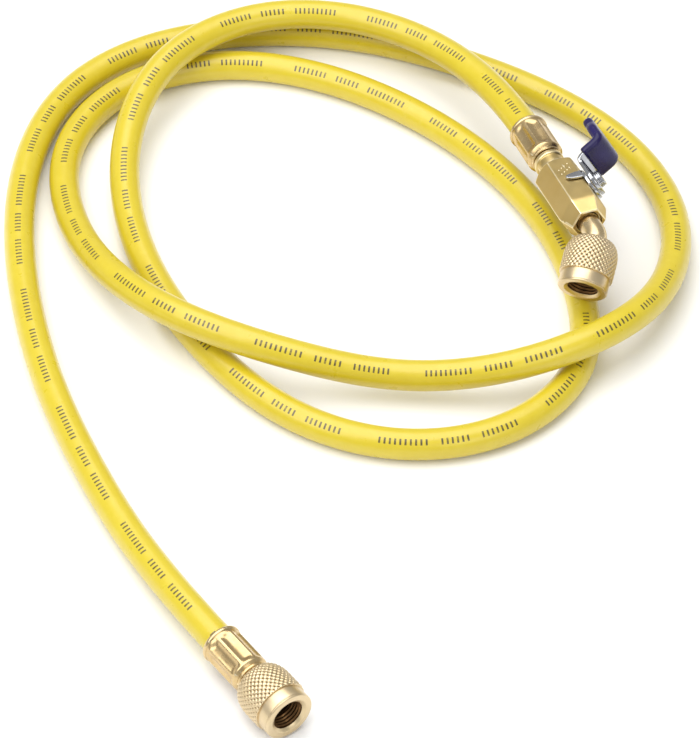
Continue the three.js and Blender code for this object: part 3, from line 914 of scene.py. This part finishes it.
def outlet(look):
    """Smooth bent neck out of the nose, then the stem and the flared seat inside the nut."""
    back = np.array((outlet_place.inverted().to_3x3() @ valve_axis) * -1)
    ahead = np.array((0, 1.0, 0))
    inner = neck_length + neck_depth
    first = [back * (inner - (inner - neck_lead) * f) for f in np.linspace(0, 1, 14)]
    t = np.linspace(0, 1, 22)[1:, None]
    arc = (1 - t) ** 2 * (back * neck_lead) + t ** 2 * (ahead * (outlet_length - 0.3))
    line = np.concatenate([first, arc])
    run = np.append(0, np.cumsum(np.linalg.norm(np.diff(line, axis=0), axis=1)))
    tangent = np.gradient(line, axis=0)
    tangent /= np.linalg.norm(tangent, axis=1)[:, None]
    side = np.cross(back, ahead)
    side /= np.linalg.norm(side)
    rings = []
    for p, s, way in zip(line, run, tangent):
        normal = np.cross(side, way)
        # The front edge is rounded over its last 0.8 mm
        r = outlet_radius - 0.35 * max(0, 1 - (run[-1] - s) / 0.8) ** 2
        rings.append([p + r * (math.cos(a) * side + math.sin(a) * normal) for a in circle(72)])
    stem = seat_stem(outlet_length - 1.5, 0, outlet_length + nut_back_wall + gap)
    piece("outlet_neck", [skin(rings), stem], outlet_place, "hose_assembly", "outlet_stem",
          look, 40)


def plain_stem(look):
    stem = seat_stem(ferrule_grip + gap, 0.2, ferrule_length + nut_stand_off + nut_back_wall + gap)
    piece("plain_stem", [stem], plain_place, "hose_assembly", "stem_plain_end", look, 40)


def gasket(name, place, nut_start, node, look):
    """Flat ring with a groove round its face."""
    start = nut_start + nut_back_wall + gap + seat_length + gap
    face, groove = start + gasket_length, start + gasket_length - 0.35
    washer = lathe([(gasket_hole, start, 0.2), (seat_radius, start, 0.3), (seat_radius, face, 0.5),
                    (4.1, face, 0.15), (3.9, groove, 0.15), (3.5, groove, 0.15), (3.3, face, 0.15),
                    (gasket_hole, face, 0.35)], 72)
    piece(name, [washer], place, "hose_assembly", node, look, 50)


def core_depressor(look):
    """Pin on three legs in the middle of the valve end's gasket."""
    start = outlet_length + nut_back_wall + gap + seat_length + gap
    parts = [spin([(0.05, start), (0.8, start), (0.88, start + 0.1), (0.88, start + 1.9), (0.7, start + 2.1),
                   (0.66, start + 2.4), (0.45, start + 2.56), (0.05, start + 2.6)], 40)]
    for k in range(3):
        a = k * 2 * math.pi / 3 + 0.5
        out = np.array((math.cos(a), 0, math.sin(a)))
        across = np.cross(out, (0, 1.0, 0))
        line = [out * f + np.array((0, start + 0.55, 0)) for f in np.linspace(0.2, gasket_hole - gap, 8)]
        parts.append(ribbon(line, across, [0.42] * 8, [0.5] * 8, 0.15))
    piece("core_depressor", parts, outlet_place, "hose_assembly", "depressor", look, 40)


# Stage

def make_camera():
    camera = bpy.data.objects.new("camera", bpy.data.cameras.new("camera"))
    bpy.context.collection.objects.link(camera)
    camera.data.lens = view_lens
    camera.location = view_target + view_distance * Vector(
        (0, -math.cos(view_elevation), math.sin(view_elevation)))
    look_at(camera, view_target)
    bpy.context.scene.camera = camera


def area_light(name, location, size, power, target):
    light = bpy.data.objects.new(name, bpy.data.lights.new(name, "AREA"))
    bpy.context.collection.objects.link(light)
    light.data.size = size
    light.data.energy = power
    light.location = location
    look_at(light, target)


def make_stage():
    bpy.ops.mesh.primitive_plane_add(size=8, location=(0, 0, 0))
    floor = bpy.context.object
    floor.name = "floor"
    look = Look("floor", (0.93, 0.93, 0.93), 0.7)
    look.roughness(look.span(look.noise(8, 3), 0.3, 0.7, 0.62, 0.8))
    look.shader.inputs["Specular IOR Level"].default_value = 0.2
    floor.data.materials.append(look.material)
    world = bpy.data.worlds.new("studio")
    world.use_nodes = True
    world.node_tree.nodes["Background"].inputs["Color"].default_value = (1, 1, 1, 1)
    world.node_tree.nodes["Background"].inputs["Strength"].default_value = 0.5
    bpy.context.scene.world = world
    centre = Vector((0, 0.05, 0))
    area_light("top", (-0.2, 0.25, 1.3), 1.5, 19, centre)
    area_light("key", (-0.9, -0.5, 1.0), 0.9, 7, centre)
    area_light("front", (0.7, -1.1, 0.9), 0.8, 4, centre)


bpy.context.scene.view_settings.view_transform = "Standard"

make_camera()
make_hose()

gold = brass_look("lathe_brass_plain", plain_place)
gold_valve = brass_look("lathe_brass_outlet", outlet_place)
crimped = {"color": (0.62, 0.46, 0.23), "deep": (0.46, 0.30, 0.12), "rough": 0.24, "turned": False}
crimp_plain = brass_look("crimped_brass_plain", plain_place, **crimped)
crimp_valve = brass_look("crimped_brass_valve", ferrule_place, **crimped)
knurl_plain = knurl_look("knurled_brass_plain")
knurl_valve = knurl_look("knurled_brass_valve")
# Painted shade inside both nuts
bore = bore_look("shade_darkened_bore")
forged = cast_look("forged_brass", valve_place)
chrome = chrome_look("bright_plating")
vinyl = vinyl_look("dipped_vinyl")
seal = seal_look("black_seal")

ferrule("plain_ferrule", plain_place, "ferrule_plain_end", crimp_plain)
ferrule("valve_ferrule", ferrule_place, "ferrule_valve_end", crimp_valve)
plain_nut_start = ferrule_length + nut_stand_off
nut("plain_nut_shell", plain_place, plain_nut_start, "plain_nut", "nut_plain_end", knurl_plain, bore)
nut("valve_nut_shell", outlet_place, outlet_length, "valve_nut", "nut_valve_end", knurl_valve, bore)
valve_body(forged)
lever(chrome)
grip(vinyl)
screw(chrome)
stop_plate(chrome)
outlet(gold_valve)
plain_stem(gold)
gasket("plain_gasket", plain_place, plain_nut_start, "gasket_plain_end", seal)
gasket("valve_gasket", outlet_place, outlet_length, "gasket_valve_end", seal)
core_depressor(gold)

for name, look in (("valve_ball", chrome), ("valve_spindle", gold_valve), ("packing_nut", gold_valve)):
    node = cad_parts[name]
    node.data.materials.clear()
    node.data.materials.append(look)
make_stage()
